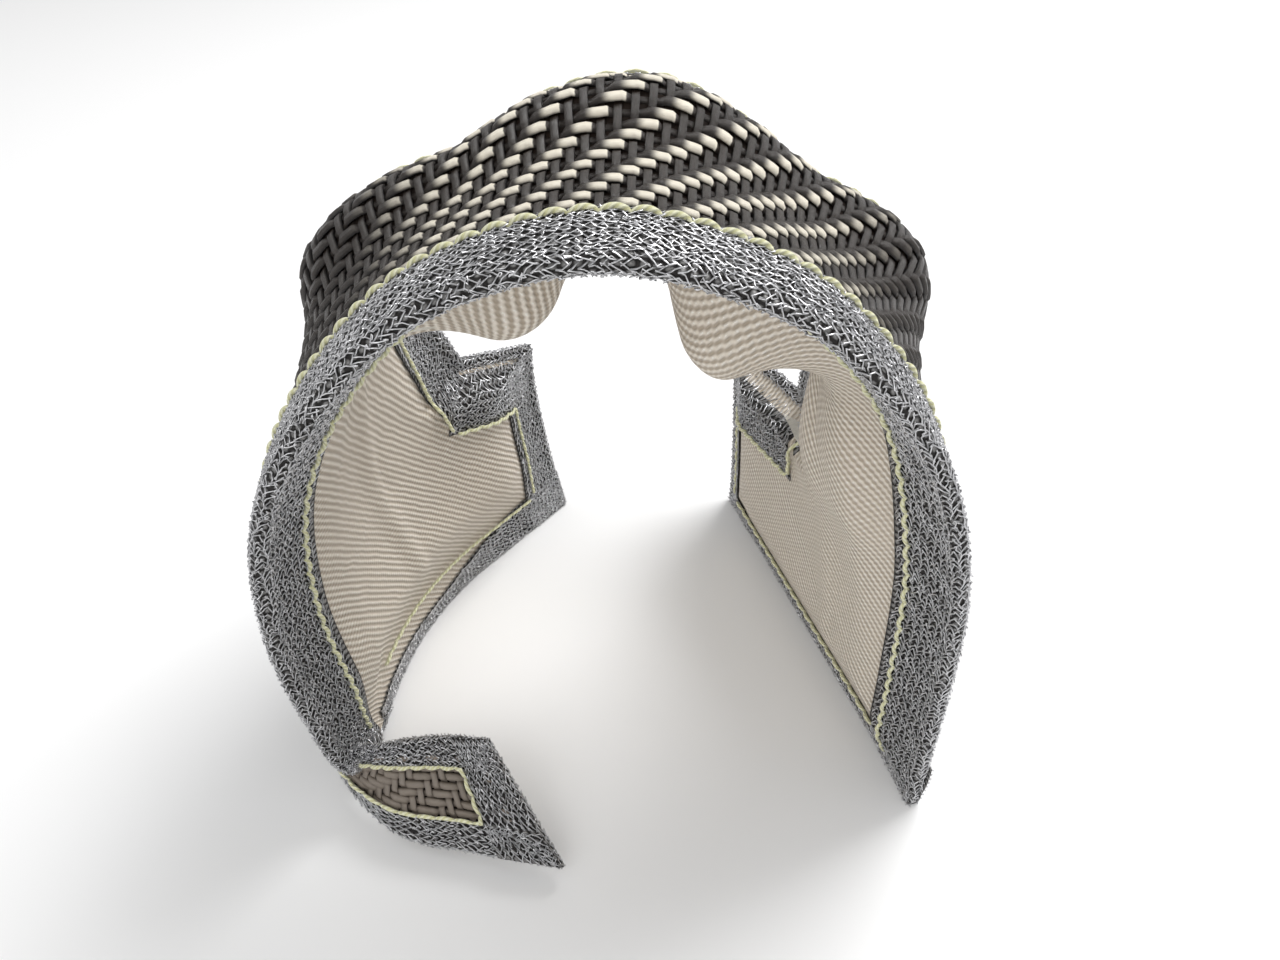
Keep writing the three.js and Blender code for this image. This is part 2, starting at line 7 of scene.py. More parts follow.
import bpy
import numpy as np
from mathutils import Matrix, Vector


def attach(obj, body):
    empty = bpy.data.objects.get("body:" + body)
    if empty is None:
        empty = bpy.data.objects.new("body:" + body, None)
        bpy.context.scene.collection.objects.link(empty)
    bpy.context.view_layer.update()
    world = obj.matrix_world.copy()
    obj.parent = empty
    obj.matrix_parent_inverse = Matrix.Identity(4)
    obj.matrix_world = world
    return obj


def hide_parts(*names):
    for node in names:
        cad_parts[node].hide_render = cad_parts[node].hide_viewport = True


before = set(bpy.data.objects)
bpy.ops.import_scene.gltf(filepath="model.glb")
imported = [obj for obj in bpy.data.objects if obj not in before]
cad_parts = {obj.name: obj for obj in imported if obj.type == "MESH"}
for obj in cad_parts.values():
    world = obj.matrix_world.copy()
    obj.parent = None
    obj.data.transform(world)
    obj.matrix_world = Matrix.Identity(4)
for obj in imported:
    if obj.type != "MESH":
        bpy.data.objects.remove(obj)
bpy.context.view_layer.update()
MM = 0.001  # the shapes below are worked out in millimetres

# %% [markdown]
# The camera comes first, because it decides how fine a thread has to be. It stands a hand's
# breadth in front of the arch and looks down at 40 degrees, close enough that near edges
# spread and the legs lean outwards, as they do in the picture.

# %% The camera
camera_data = bpy.data.cameras.new("camera")
camera_data.sensor_width = 36.0
camera_data.lens = 28.125
camera_data.clip_start = 0.005
camera = bpy.data.objects.new("camera", camera_data)
camera.location = (0.0032, -0.1138, 0.135)
camera.rotation_euler = (np.radians(50), 0, 0)
bpy.context.scene.collection.objects.link(camera)
bpy.context.scene.camera = camera
print("camera", tuple(camera.location))

# %% [markdown]
# The near edge of the blanket is an arch drawn through a few points. A Catmull-Rom curve
# passes through all of them, and measuring it along its length gives the distance s from
# the left foot, which is how a cutter would measure the flat strip.

# %% The arch of the near edge
ARCH_HEIGHT, ARCH_HALF_WIDTH, CENTRE_X, NEAR_Y, LEG_SET_BACK = 92.5, 46.2, 3.2, -33.8, 4.5
OUTLINE = np.array([
    [-0.91, 0], [-0.97, 0.19], [-1, 0.4], [-0.935, 0.615], [-0.745, 0.795], [-0.46, 0.94],
    [-0.075, 1], [0.29, 0.948], [0.525, 0.85], [0.725, 0.698], [0.84, 0.5], [0.88, 0.245],
    [0.895, 0],
])
ARCH = OUTLINE * (ARCH_HALF_WIDTH, ARCH_HEIGHT) + (CENTRE_X, 0)


def through(knots, t):
    """Catmull-Rom curve: t runs 0 to 1 over the knots, and each span is the cubic that
    passes two knots with the slopes of their neighbours."""
    ends = np.vstack([2 * knots[0] - knots[1], knots, 2 * knots[-1] - knots[-2]])
    span = np.clip(t, 0, 1) * (len(knots) - 1)
    i = np.minimum(span.astype(int), len(knots) - 2)
    f = (span - i)[..., None]
    a, b, c, d = ends[i], ends[i + 1], ends[i + 2], ends[i + 3]
    cubic = (3 * b - a - 3 * c + d) * f**3 + (2 * a - 5 * b + 4 * c - d) * f**2
    return 0.5 * (2 * b + (c - a) * f + cubic)


fine = np.linspace(0, 1, 4001)
arch_points = through(ARCH, fine)
arch_run = np.concatenate([[0], np.cumsum(np.linalg.norm(np.diff(arch_points, axis=0), axis=1))])
LENGTH = arch_run[-1]
MIDDLE = LENGTH / 2
arch_slopes = np.gradient(arch_points, arch_run, axis=0)
print("near edge", round(LENGTH, 1), "mm")

# %% [markdown]
# The strip is deep at its feet, where the two rear tabs are, and narrow at the crown. The
# rear of each leg turns inwards, so a small table adds up where a line of cloth ends when
# its heading turns steadily.

# %% Depth of the strip and turn of the legs
LEFT_TAB, RIGHT_TAB, LEFT_NOTCH, RIGHT_NOTCH, CROWN = 77.0, 74.0, 60.0, 47.0, 43.0
TAB_HEIGHT, TAB_TOP, SHOULDER = 39.0, 45.0, 76.0
STRAP_WIDTH, STRAP_LENGTH, STRAP_LIFT = 18.4, 44.0, 9.0
depth_at = [0, TAB_HEIGHT, TAB_TOP, SHOULDER, LENGTH - SHOULDER, LENGTH - TAB_TOP,
            LENGTH - TAB_HEIGHT, LENGTH]
depth_is = [LEFT_TAB, LEFT_TAB, LEFT_NOTCH, CROWN, CROWN, RIGHT_NOTCH, RIGHT_TAB, RIGHT_TAB]


def far_edge(s):
    """Depth of the strip at s: straight lines between the corners of the cut."""
    return np.interp(s, depth_at, depth_is)


def smooth(x, a, b):
    """0 below a, 1 above b, and an S-shaped step between."""
    t = np.clip((x - a) / (b - a), 0, 1)
    return t * t * (3 - 2 * t)


def bell(x, middle, spread):
    """A bump of height 1: e to the minus ((x - middle) / spread) squared."""
    return np.exp(-(((x - middle) / spread) ** 2))


def turn_table(start, full, first, last):
    """Sine and cosine of a heading that turns from first to last degrees, added up."""
    w = np.arange(100) + 0.5
    heading = np.radians(first + (last - first) * np.clip((w - start) / (full - start), 0, 1))
    add_up = lambda step: np.concatenate([[0], np.cumsum(step)])
    return add_up(np.sin(heading)), add_up(np.cos(heading))


LEFT_TURN = turn_table(14, 54, 0, 37)
RIGHT_TURN = turn_table(0, 20, 13.5, 18)
SWELLS = [(4, 0.335, 0.05), (-2, 0.427, 0.03), (1.5, 0.52, 0.035), (-1.5, 0.6, 0.028),
          (6, 0.685, 0.055)]

# %% [markdown]
# Now the bent surface itself: a function that takes s along the strip and w from its near
# edge, and gives a point. The strap is part of the same cut: it runs on from the left foot
# with s below zero, and is ruled between an upper and a lower edge. There s is only a
# count: 44 of it is 22 mm along the upper edge and 55 mm along the lower one.

# %% The bent surface
BROW, HANG, CROWN_RISE = 2.6, 5, 2.2


def brow(s, w):
    """How far the pad bulges outwards before the far seam, and hangs down behind it."""
    from_far = far_edge(s) - w
    bulge = BROW * bell(from_far, 14, 5) - HANG * np.clip(1 - from_far / 12, 0, 1) ** 2
    bulge = bulge * smooth(s, 50, 80) * (1 - smooth(s, LENGTH - 80, LENGTH - 50))
    return bulge + CROWN_RISE * smooth(w, 8, 34) * bell(s, MIDDLE, 0.17 * LENGTH)


def main_sheet(s, w, outside=True):
    """Arch point at s, carried back by w. Low on the legs the turn table carries it back and
    inwards; high on the arch it goes straight back and swells outwards where it is deep."""
    u = np.clip(s / LENGTH, 0, 1)
    x, z = (np.interp(u * LENGTH, arch_run, arch_points[:, k]) for k in (0, 1))
    tx, tz = (np.interp(u * LENGTH, arch_run, arch_slopes[:, k]) for k in (0, 1))
    leg = 1 - smooth(z, ARCH_HEIGHT * 0.52, ARCH_HEIGHT * 0.92)
    left = s < MIDDLE
    row = np.arange(101)
    inwards, back = (np.where(left, np.interp(w, row, a), np.interp(w, row, b))
                     for a, b in zip(LEFT_TURN, RIGHT_TURN))
    swell = smooth(w, 4, 36) * sum(h * bell(u, m, p) for h, m, p in SWELLS)
    swell = swell + (brow(s, w) if outside else np.minimum(brow(s, w), 0))
    lift = STRAP_LIFT * np.clip(1 - w / STRAP_WIDTH, 0, None) * np.clip(1 - s / 16, 0, None) ** 2
    return np.stack([
        x + np.where(left, inwards, -inwards) * leg - tz * swell,
        NEAR_Y + LEG_SET_BACK * (1 - z / ARCH_HEIGHT) + back * leg + w * (1 - leg),
        z + tx * swell + lift * (s < 16),
    ], -1)


def strap_edge(w, offsets):
    """Knots of one edge of the strap: two on the leg, then offsets from the foot's corner."""
    corner = np.array([ARCH[0, 0], NEAR_Y, 0])
    on_leg = main_sheet(np.array([6.0, 0.0]), np.array([w, w]))
    return np.vstack([on_leg, corner + offsets])


STRAP_UPPER = strap_edge(0, [
    [1.34, 6.7, 10], [5.84, 7.9, 11], [12.84, 8.2, 12], [19.84, 7.2, 12.6]])
STRAP_LOWER = strap_edge(STRAP_WIDTH, [
    [-3.56, 10.2, 2.6], [6.84, -1.6, 2.6], [18.84, -4.8, 2.6], [31.34, -7.1, 2.6]])


def sheet(s, w, outside=True):
    """The main strip where s is above zero, and the ruled strap below."""
    s, w = np.broadcast_arrays(np.asarray(s, float), np.asarray(w, float))
    t = np.clip((1 - s / STRAP_LENGTH * 4) / 5, 0, 1)
    share = (w / STRAP_WIDTH)[..., None]
    strap = through(STRAP_UPPER, t) * (1 - share) + through(STRAP_LOWER, t) * share
    on_strap = (s < 0) & (w < STRAP_WIDTH + 1.5)
    return np.where(on_strap[..., None], strap, main_sheet(s, w, outside))


def inner_sheet(s, w):
    """The surface that the felt and the lining follow, without the brow."""
    return sheet(s, w, outside=False)


def unit(v):
    return v / np.maximum(np.linalg.norm(v, axis=-1, keepdims=True), 1e-9)


def frame_of(surface, u, v, step=0.3):
    """Point, both directions along the surface, and the normal that points outwards."""
    along = unit(surface(u + step, v) - surface(u - step, v))
    across = unit(surface(u, v + step) - surface(u, v - step))
    return surface(u, v), along, across, unit(np.cross(along, across))


def lifted(s, w, height):
    """A point of the sheet, moved out along its normal by height. Below the surface the
    sheet has no brow, because only the outer cloth bulges."""
    height = np.asarray(height)[..., None]
    point, _, _, normal = frame_of(sheet, s, w)
    low_point, _, _, low_normal = frame_of(inner_sheet, s, w)
    return np.where(height < 0, low_point + low_normal * height, point + normal * height)


print("crown", sheet(MIDDLE, 0).round(1), "strap end", sheet(-STRAP_LENGTH, 9).round(1))

# %% [markdown]
# The pad is thick in the middle and flat at its seams. Because the lining lies on the inside
# of the bend it is too long there, so it buckles inwards beside the crown: three bumps.

# %% Heights of the layers over the surface
SEAM_GAP, CLOTH, LINING, LINING_AT_SEAM, PUFF = 0.2, 0.9, 0.8, 0.3, 4.4
BUCKLES = [(9, -18, 11), (13, 24, 14), (4, 52, 20)]
CLOTH_TOP = SEAM_GAP + CLOTH


def from_edge(s, w):
    """Distance to the nearest cut edge, on the main strip or on the strap."""
    strap = np.minimum(np.minimum(w, STRAP_WIDTH - w), STRAP_LENGTH + s)
    foot = np.where(w < STRAP_WIDTH, s + (STRAP_WIDTH - w), s)
    main = np.minimum(np.minimum(w, far_edge(s) - w), np.minimum(foot, LENGTH - s))
    return np.where(s < 0, strap, main)


def puff(s, w):
    """Thickness of the pad: an S-shaped rise from every seam, and the inward buckles."""
    edge = from_edge(s, w)
    field = smooth(w, 9, 20) * (1 - smooth(w, 30, 42))
    buckle = field * sum(h * bell(s, MIDDLE + at, p) for h, at, p in BUCKLES)
    full = PUFF * smooth(edge, 2, 17) * smooth(s, 2, 20) + buckle * smooth(edge, 8, 17)
    return np.where(s < 2, 0, full)


def lining_face(s, w):
    """Height of the lining's seen face, below the surface."""
    twist = bell(s, -4, 5) * (1 - smooth(w, STRAP_WIDTH * 0.4, STRAP_WIDTH * 0.8))
    eased = (LINING - LINING_AT_SEAM) * smooth(from_edge(s, w), 1, 6)
    return -SEAM_GAP - puff(s, w) - twist - LINING_AT_SEAM - eased


# %% [markdown]
# Every piece is a grid of points, or a stack of equal grids, so one function makes them all.
# Whole arrays go into the mesh at once: no loop runs over vertices.

# %% From a grid of points to a mesh
def grid_mesh(name, points, ring=False, keep=None, uv=None, marks=None, finish=None, slot=None):
    """points is (rows, columns, 3) or (pieces, rows, columns, 3), in millimetres. Faces join
    neighbours; ring closes each row on itself; keep masks vertices; marks are attributes."""
    points = np.asarray(points, float)
    points = points[None] if points.ndim == 3 else points
    index = np.arange(points[..., 0].size).reshape(points.shape[:-1])
    index = np.concatenate([index, index[:, :, :1]], 2) if ring else index
    corners = [index[:, :-1, :-1], index[:, 1:, :-1], index[:, 1:, 1:], index[:, :-1, 1:]]
    faces = np.stack(corners, -1)
    faces = faces[..., ::-1] if ring else faces
    faces = faces.reshape(-1, 4)
    if keep is not None:
        faces = faces[np.broadcast_to(keep, points.shape[:-1]).ravel()[faces].all(1)]
    used, faces = np.unique(faces, return_inverse=True)
    faces = faces.reshape(-1, 4)
    mesh = bpy.data.meshes.new(name)
    mesh.vertices.add(len(used))
    mesh.vertices.foreach_set("co", (points.reshape(-1, 3)[used] * MM).ravel())
    mesh.loops.add(faces.size)
    mesh.loops.foreach_set("vertex_index", faces.ravel())
    mesh.polygons.add(len(faces))
    mesh.polygons.foreach_set("loop_start", np.arange(0, faces.size, 4))
    mesh.polygons.foreach_set("use_smooth", np.ones(len(faces), bool))
    mesh.update(calc_edges=True)
    if uv is not None:
        flat = np.broadcast_to(uv, points.shape[:-1] + (2,)).reshape(-1, 2)[used]
        mesh.uv_layers.new(name="UVMap").data.foreach_set("uv", flat[faces.ravel()].ravel())
    for mark, value in (marks or {}).items():
        layer = mesh.attributes.new(mark, "FLOAT", "POINT")
        flat = np.broadcast_to(value, points.shape[:-1]).ravel()[used]
        layer.data.foreach_set("value", flat.astype(np.float32))
    piece = bpy.data.objects.new(name, mesh)
    bpy.context.scene.collection.objects.link(piece)
    if finish:
        mesh.materials.append(finish)
    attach(piece, "root")
    print(name, len(used), "points", 2 * len(faces), "triangles")
    return piece


def mesh_area(piece):
    """Area of all faces, in square metres."""
    return sum(face.area for face in piece.data.polygons)


def thickened(piece, thickness):
    """Gives a sheet its thickness inwards, so that the mesh is closed."""
    solid = piece.modifiers.new("thickness", "SOLIDIFY")
    solid.thickness = thickness * MM
    solid.offset = -1
    return piece


def strands(name, surface, u, v, lift, radius, sides, flat=1.0, **more):
    """Tubes that lie on a surface: u and v are (tubes, steps) of the surface's own two
    measures, lift is the centre's height, and flat squeezes the section's height. The
    section is a circle of sides points in the plane of the normal and the side direction."""
    u, v, lift = np.broadcast_arrays(u, v, lift)
    point, along, across, normal = frame_of(surface, u, v)
    du, dv = np.gradient(u, axis=1), np.gradient(v, axis=1)
    run = np.maximum(np.hypot(du, dv), 1e-9)
    side = unit(along * (-dv / run)[..., None] + across * (du / run)[..., None])
    turn = np.arange(sides) * 2 * np.pi / sides + np.pi / sides
    steps = u.shape[1]
    taper = np.ones(steps)
    taper[[0, -1]] = 0.05
    size = np.broadcast_to(radius, u.shape)[..., None, None] * taper[:, None, None]
    ring = side[..., None, :] * np.cos(turn)[:, None] * size
    ring = ring + normal[..., None, :] * (np.sin(turn)[:, None] * size * flat)
    centre = point + normal * lift[..., None]
    length = np.cumsum(np.concatenate([np.zeros((len(u), 1)), run[:, 1:]], 1), 1)
    uv = np.stack(np.broadcast_arrays(length[..., None] * 0.1, turn / (2 * np.pi)), -1)
    crest = np.sin(turn) * 0.5 + 0.5
    marks = {"crest": np.broadcast_to(crest, u.shape + (sides,))}
    for mark, value in more.pop("marks", {}).items():
        marks[mark] = np.broadcast_to(np.asarray(value)[..., None], u.shape + (sides,))
    keep = more.pop("keep", None)
    keep = None if keep is None else keep[..., None]
    points = centre[..., None, :] + ring
    return grid_mesh(name, points, ring=True, keep=keep, uv=uv, marks=marks, **more)


# %% [markdown]
# Materials are built from nodes, and node maths is easier to read as a formula. So a small
# class wraps a socket and lets Python's own operators add the Math nodes behind it.

# %% Formulas for materials
class Value:
    """A socket of a material, as a number that can be added, multiplied and compared."""

    def __init__(self, look, socket):
        self.look, self.socket = look, socket

    def _math(self, operation, *values):
        return self.look.node("Math", {"operation": operation}, values)

    def __add__(self, other):
        return self._math("ADD", self, other)

    def __radd__(self, other):
        return self._math("ADD", other, self)

    def __sub__(self, other):
        return self._math("SUBTRACT", self, other)

    def __rsub__(self, other):
        return self._math("SUBTRACT", other, self)

    def __mul__(self, other):
        return self._math("MULTIPLY", self, other)

    def __rmul__(self, other):
        return self._math("MULTIPLY", other, self)

    def __truediv__(self, other):
        return self._math("DIVIDE", self, other)

    def __rtruediv__(self, other):
        return self._math("DIVIDE", other, self)

    def __pow__(self, other):
        return self._math("POWER", self, other)

    def __neg__(self):
        return self._math("MULTIPLY", self, -1.0)

    def sine(self):
        return self._math("SINE", self)

    def fraction(self):
        return self._math("FRACT", self)

    def step(self, low, high):
        """0 below low, 1 above high, and smooth between."""
        settings = {"interpolation_type": "SMOOTHSTEP"}
        inputs = {"Value": self, "From Min": low, "From Max": high}
        return self.look.node("MapRange", settings, inputs)


class Look:
    """One material: its shader, its coordinates, and the one method that adds a node."""

    def __init__(self, name, **constants):
        self.material = bpy.data.materials.new(name)
        self.material.use_nodes = True
        self.tree = self.material.node_tree
        self.shader = self.tree.nodes["Principled BSDF"]
        for socket, value in constants.items():
            self.shader.inputs[socket.replace("_", " ")].default_value = value

    def node(self, kind, settings=None, values=(), out=0):
        """Adds ShaderNode + kind, sets its settings, then links or sets its inputs."""
        made = self.tree.nodes.new("ShaderNode" + kind)
        for name, value in (settings or {}).items():
            setattr(made, name, value)
        pairs = values.items() if isinstance(values, dict) else enumerate(values)
        for key, value in pairs:
            if isinstance(value, Value):
                self.tree.links.new(value.socket, made.inputs[key])
            else:
                made.inputs[key].default_value = value
        return Value(self, made.outputs[out])

    def mark(self, name):
        """A piece's own attribute, as a number."""
        return self.node("Attribute", {"attribute_name": name}, out="Fac")

    def uv(self):
        return self.node("UVMap", {"uv_map": "UVMap"})

    def uv_part(self, axis, size):
        """One of the two surface measures, X or Y, times size."""
        return self.node("SeparateXYZ", {}, {"Vector": self.uv()}, out=axis) * size

    def place(self):
        return self.node("TexCoord", out="Object")

    def scaled(self, where, x, y, z):
        return self.node("Mapping", {}, {"Vector": where, "Scale": (x, y, z)})

    def noise(self, where, scale, detail=3.0, rough=0.5):
        inputs = {"Vector": where, "Scale": scale, "Detail": detail, "Roughness": rough}
        return self.node("TexNoise", {}, inputs)

    def mix(self, share, a, b):
        """Colour a where share is 0, and colour b where it is 1."""
        return self.node("Mix", {"data_type": "RGBA"}, {0: share, 6: a, 7: b}, out=2)

    def bump(self, height, distance, strength=1.0):
        inputs = {"Height": height, "Distance": distance, "Strength": strength}
        return self.node("Bump", {}, inputs)

    def feed(self, **links):
        for name, value in links.items():
            self.tree.links.new(value.socket, self.shader.inputs[name.replace("_", " ")])
        return self.material


def colour(r, g, b):
    """A colour as seen on screen, 0 to 255, turned into the linear numbers a shader takes."""
    c = np.array([r, g, b]) / 255
    return (*np.where(c <= 0.04045, c / 12.92, ((c + 0.055) / 1.055) ** 2.4), 1.0)


# %% [markdown]
# The outer cloth is woven from yarns of brown coated glass. Over the crown the tops of its
# floats are painted cream, a painted highlight of the lamp on the glossy yarns; on the flanks
# it stays dark. A mark says where the highlight goes, crest says how high a point is on its
# yarn, and the fraction of phase says how far along its float. The painted highlight brightens
# each float towards its right end. Low on each yarn the colour is darker, as painted shade, and
# the strap's lighter tone is a painted reflection of the floor in the same cloth.

# %% Finish of the dark yarns
def yarn_finish(name, dark, pale, strap):
    look = Look(name, Specular_IOR_Level=0.7)
    fibre = look.noise(look.scaled(look.uv(), 6, 60, 1), 3.0, 4.0, 0.7)
    cloudy = look.noise(look.place(), 90.0, 2.0)
    # Painted highlight: cream on the tops of the floats over the crown, brightening along each
    # float.
    along = look.mark("phase").fraction()
    shine = look.mark("crest").step(0.3, 0.8)
    shine = shine * along.step(0.02, 0.36) * (1.0 - along.step(0.45, 0.49))
    crown_highlight = shine * look.mark("crown_highlight") * (0.55 + 0.9 * cloudy)
    # Painted shade: each yarn is darkened low on its section, where it dips beside its neighbours.
    under = look.mix(look.mark("crest").step(0.2, 0.95), colour(10, 7, 6), dark)
    # Painted reflection: on the strap the same cloth is given a lighter grey-brown, darkened low
    # on each yarn as painted shade.
    strap_reflection_and_shade = look.mix(look.mark("crest").step(0.2, 0.9), colour(48, 42, 36), strap)
    taupe = look.mix(look.mark("strap"), under, strap_reflection_and_shade)
    base = look.mix((crown_highlight * (0.6 + 0.8 * fibre)).step(0.12, 0.8), taupe, pale)
    rough = 0.46 - 0.16 * fibre
    return look.feed(Base_Color=base, Roughness=rough, Normal=look.bump(fibre, 0.00008))


# pale is the painted highlight's colour, and strap the painted reflection tone of the strap's
# cloth.
dark_yarn = yarn_finish(
    "dark_yarn", dark=colour(40, 31, 24), pale=colour(248, 240, 222), strap=colour(142, 131, 120))

backing_look = Look("cloth_ground", Specular_IOR_Level=0.2)
speckle = backing_look.noise(backing_look.place(), 900.0, 3.0)
ground = backing_look.feed(
    Base_Color=backing_look.mix(speckle, colour(16, 12, 9), colour(44, 33, 26)),
    Roughness=0.75 + 0.2 * speckle,
    Normal=backing_look.bump(speckle, 0.0001))

# %% [markdown]
# The cloth could be a bumpy texture, but at this distance each float is 25 pixels long, so
# the yarns are real. In a 2/2 twill a yarn passes over two and under two, and its neighbour
# does the same one step on, which is what makes the slanting lines.

# %% Yarns of the outer cloth
YARN = 1.45
TWILL = 4 * YARN
LANES, STEPS = 54, 430
LONG_MARGIN, CROSS_MARGIN, STRAP_MARGIN = 5.2, 5.0, 3.5  # yarns start under the tape


def over_two(phase):
    """Height of a yarn that is over for the first half of its cycle: 1 over, -1 under."""
    return 2 * smooth(np.sin(2 * np.pi * phase), -0.5, 0.5) - 1


def crown_highlight_mask(s, w):
    """Where the painted highlight goes: over the crown, and a little more towards the rear."""
    crown = smooth(s, 76, 106) * (1 - smooth(s, LENGTH - 96, LENGTH - 72))
    return 0.02 + 0.98 * crown * (0.85 + 0.15 * smooth(w, 10, 40))


lane_id = np.arange(LANES)[:, None]
lanes = (np.arange(LANES) + 0.5) * YARN
s, w = np.meshgrid(np.linspace(-STRAP_LENGTH + 3, LENGTH - 3, STEPS), lanes)
phase = s / TWILL - lane_id / 4
rise = over_two(phase)
near = np.where(s < 0, STRAP_MARGIN, LONG_MARGIN)
far = np.where(s < 0, STRAP_WIDTH - STRAP_MARGIN, far_edge(s) - LONG_MARGIN)
seed = np.random.default_rng(4)
wander = seed.normal(0, 0.05, s.shape)
wander = (wander + np.roll(wander, 1, 1) + np.roll(wander, 2, 1)) / 2
long_yarns = strands(
    "outer_cloth_long_yarns", sheet, s, w + wander, 0.72 + 0.3 * rise, 0.6 + 0.06 * rise, 5, 0.62,
    keep=(w > near) & (w < far), finish=dark_yarn, slot="outer_cloth",
    marks={"phase": phase, "crown_highlight": crown_highlight_mask(s, w), "strap": smooth(-s, -2, 8)})

# %% Yarns that cross it
cross_s = np.arange(-STRAP_LENGTH + 4, LENGTH - 3, YARN)[:, None]
share = np.linspace(0, 1, 64)[None]
near = np.where(cross_s < 0, STRAP_MARGIN, CROSS_MARGIN)
far = np.where(cross_s < 0, STRAP_WIDTH - STRAP_MARGIN, far_edge(cross_s) - CROSS_MARGIN)
w = near + share * (far - near)
s = np.broadcast_to(cross_s, w.shape)
cross_rise = -over_two(s / TWILL - (w / YARN - 0.5) / 4)
no_shine = np.zeros(s.shape)
cross_yarns = strands(
    "outer_cloth_cross_yarns", sheet, s, w, 0.66 + 0.26 * cross_rise, 0.6, 4, 0.6,
    finish=dark_yarn, slot="outer_cloth",
    marks={"phase": no_shine, "crown_highlight": no_shine, "strap": smooth(-s, -2, 8)})

# %% [markdown]
# Behind the yarns lies a plain ground. A check that compares the two proves nothing about
# stretch.

# %% The ground behind the yarns
CUT_INSET = 1.6  # the cloths stop this far inside the fold of the tape


def cut_grid(columns, rows):
    """Points s and w all over the cut strip, and a mask that leaves out the strap's rest."""
    s = np.linspace(-STRAP_LENGTH + 2, LENGTH - CUT_INSET, columns)[:, None]
    w = CUT_INSET + np.linspace(0, 1, rows)[None] * (far_edge(s) - 2 * CUT_INSET)
    s = np.broadcast_to(s, w.shape)
    return s, w, (s >= 0) | (w < STRAP_WIDTH - 1)


cloth_s, cloth_w, on_cut = cut_grid(260, 60)
outer_cloth = grid_mesh(
    "outer_cloth_ground", lifted(cloth_s, cloth_w, np.full(cloth_s.shape, 0.5)),
    keep=on_cut, finish=ground, slot="outer_cloth")
thickened(outer_cloth, 0.25)
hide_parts("outer_cloth")

# %% [markdown]
# The lining is a finer twill, about a millimetre from line to line. That is ten pixels, so
# its lines are drawn by the material from the cloth's own coordinates, and only its buckles
# and soft ripples are in the mesh.

# %% Finish of the lining
lining_look = Look("beige_twill", Specular_IOR_Level=0.45, Sheen_Weight=0.2, Sheen_Roughness=0.5)
along_mm, across_mm = (lining_look.uv_part(axis, 100.0) for axis in "XY")
TAU = 2 * np.pi
wobble = lining_look.noise(lining_look.place(), 260.0, 2.0) * 0.5
lines = 0.5 + 0.5 * ((along_mm * 0.72 + across_mm * 0.72 + wobble) * TAU).sine()
picks = 0.5 + 0.5 * ((along_mm * 1.1 - across_mm * 0.9 + wobble) * TAU).sine()
fuzz = lining_look.noise(lining_look.place(), 2600.0, 4.0, 0.7)
blotch = lining_look.noise(lining_look.place(), 60.0, 3.0)
weave = lines * 0.7 + picks * 0.3
tone = lining_look.mix(weave.step(0.15, 0.8), colour(170, 156, 138), colour(232, 223, 209))
tone = lining_look.mix((blotch - 0.35) * 0.9, tone, colour(206, 193, 176))
glint = (fuzz * weave).step(0.42, 0.56)
tone = lining_look.mix(glint * 0.8, tone, colour(250, 246, 238))
beige = lining_look.feed(
    Base_Color=tone, Roughness=0.75 - 0.3 * glint,
    Normal=lining_look.bump(weave + 0.4 * fuzz, 0.00035, 0.9))

# %% The lining
def ripples(s, w):
    """Small folds of loose cloth: sums of slow waves, strongest beside the buckles."""
    slow = np.sin(0.31 * s + 0.12 * w) + 0.6 * np.sin(0.17 * s - 0.29 * w + 1.3)
    crease = 1.6 * bell(w + 0.25 * (s - 30), 33, 2.2) * smooth(s, 8, 20) * (1 - smooth(s, 62, 80))
    fold = 1.2 * bell(w, 24 + 0.05 * (LENGTH - s), 2.5) * smooth(s, LENGTH - 84, LENGTH - 60)
    return (0.28 * slow + crease + fold) * smooth(from_edge(s, w), 9, 18) * (s > 2)


line_s, line_w, on_cut = cut_grid(420, 96)
height = lining_face(line_s, line_w) - np.abs(ripples(line_s, line_w)) * 0.5
lining = grid_mesh(
    "inner_lining_twill", lifted(line_s, line_w, height)[:, ::-1],
    keep=on_cut[:, ::-1], uv=np.stack([line_s, line_w], -1)[:, ::-1] * 0.01, finish=beige,
    slot="lining")
thickened(lining, 0.4)
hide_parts("inner_lining")

# %% [markdown]
# The edging is a sock of knitted stainless wire, pressed flat and folded over the edge. Its
# loops lean on each other, so a black gap shows in every one. Each row of loops is one real
# wire here, running from the outer leaf round the fold to the inner leaf.

# %% Finish of the wire
wire_look = Look("knitted_wire", Metallic=1.0)
smear = wire_look.noise(wire_look.place(), 420.0, 3.0)
steel_tone = wire_look.mix(smear, colour(196, 196, 198), colour(244, 244, 246))
wire = wire_look.feed(Base_Color=steel_tone, Roughness=0.24 + 0.16 * smear)

under_look = Look("wire_behind", Metallic=0.6, Specular_IOR_Level=0.4)
u_mm, v_mm = (under_look.uv_part(axis, 100.0) for axis in "XY")
loops = (0.5 + 0.5 * (u_mm * (TAU / 1.1)).sine()) * (0.5 + 0.5 * (v_mm * (TAU / 1.15)).sine())
grain = under_look.noise(under_look.place(), 1900.0, 3.0)
# The band is painted near-black between its loops: painted shade in the gaps of the knit.
behind = under_look.feed(
    Base_Color=under_look.mix(
        (loops + 0.5 * grain).step(0.3, 0.9), colour(46, 44, 43), colour(150, 149, 148)),
    Roughness=0.5 + 0.2 * grain,
    Normal=under_look.bump(loops + 0.3 * grain, 0.0004))

# %% Where the tape runs
TAPE_LIFT = 0.35
TAPE_TOP = CLOTH_TOP + TAPE_LIFT
FOLD, BEND = 1.0, 3.1  # half the thickness at the fold, and the way round it


